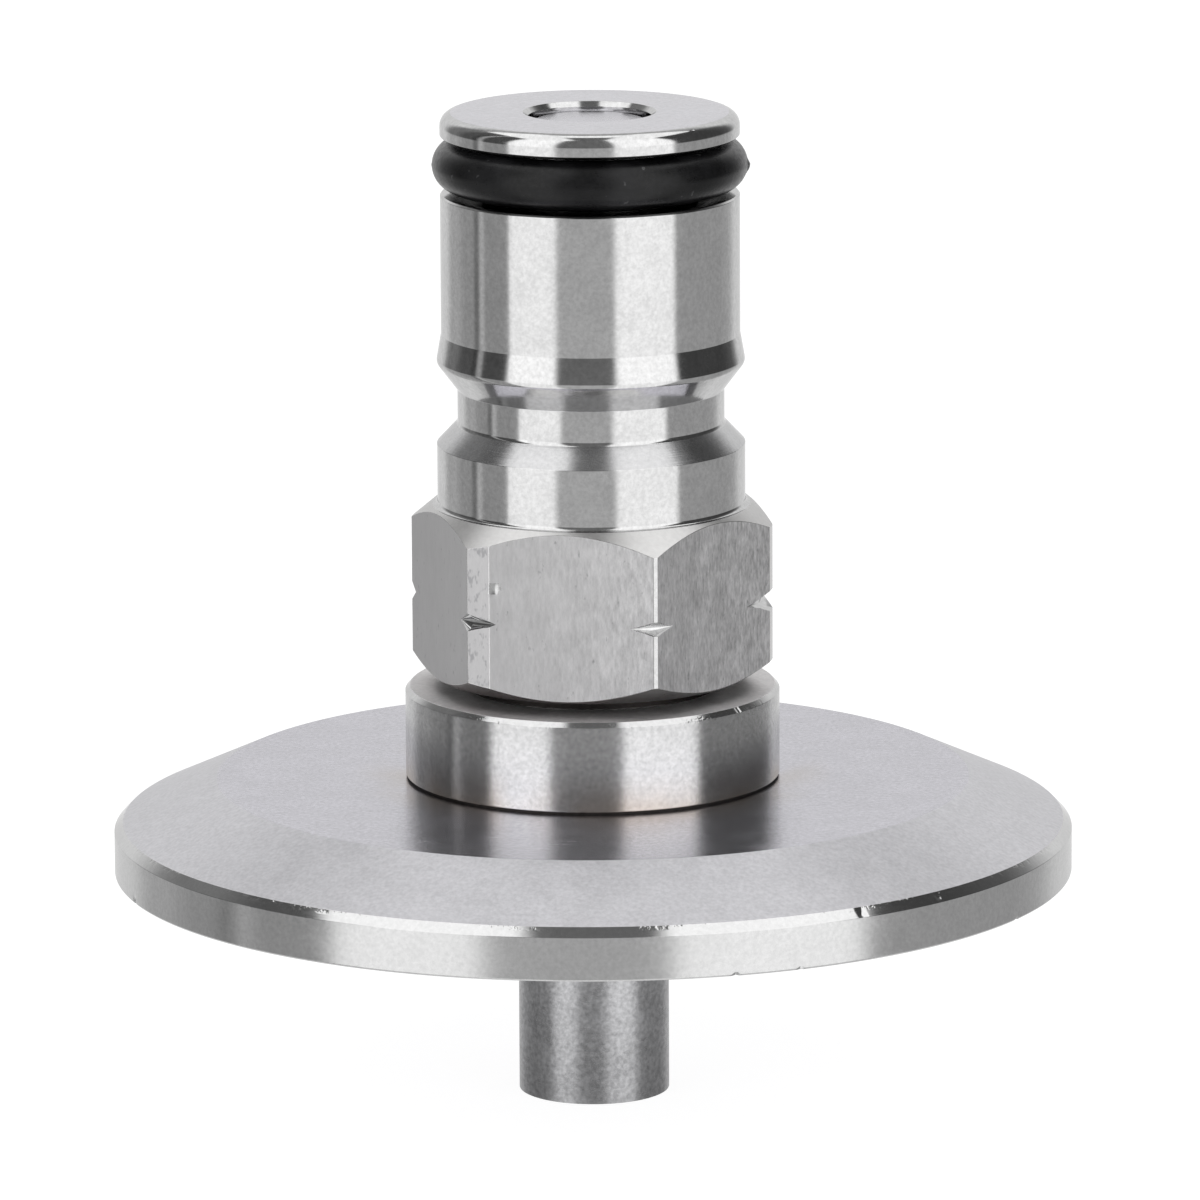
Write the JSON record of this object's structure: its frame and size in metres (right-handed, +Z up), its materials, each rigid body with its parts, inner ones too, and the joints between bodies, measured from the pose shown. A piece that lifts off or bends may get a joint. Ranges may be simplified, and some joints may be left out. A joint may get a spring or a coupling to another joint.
{
  "type": "sanitary clamp ferrule with ball-lock post",
  "caption": "Clamp flange with a welded hub that carries a hexagonal quick-connect gas post, its sprung poppet valve and sealing ring, and a short dip tube below.",
  "frame": {"origin": "centre of the ferrule's sealing face, on the dip tube's axis", "axes": "+Z up the post, away from the vessel; two of the hexagon's flats face along Y"},
  "size_m": [0.0506, 0.0506, 0.0523],
  "materials": {
    "ferrule_steel": "turned and polished stainless steel",
    "hub_steel": "turned stainless steel with a weld tint at its base",
    "post_steel": "turned stainless steel with satin hexagon flats",
    "poppet_steel": "turned stainless steel",
    "spring_steel": "drawn stainless spring wire",
    "tube_steel": "drawn stainless tube, unpolished",
    "ring_rubber": "satin black",
    "seal_rubber": "matt black",
    "tube_ring_rubber": "satin black"
  },
  "bodies": {
    "fitting": {"clamp_ferrule": "ferrule_steel", "threaded_hub": "hub_steel", "ball_lock_post": "post_steel", "post_o_ring": "ring_rubber", "dip_tube": "tube_steel", "dip_tube_o_ring": "tube_ring_rubber", "poppet_spring": "spring_steel"},
    "valve": {"poppet": "poppet_steel", "poppet_seal": "seal_rubber"}
  },
  "joints": [
    {"name": "poppet_press", "type": "slide", "parent": "fitting", "child": "valve", "axis": [0, 0, -1], "range_m": [0, 0.0035], "stiffness_N_per_m": 340, "springref_m": -0.005, "deforming": ["poppet_spring"]}
  ]
}
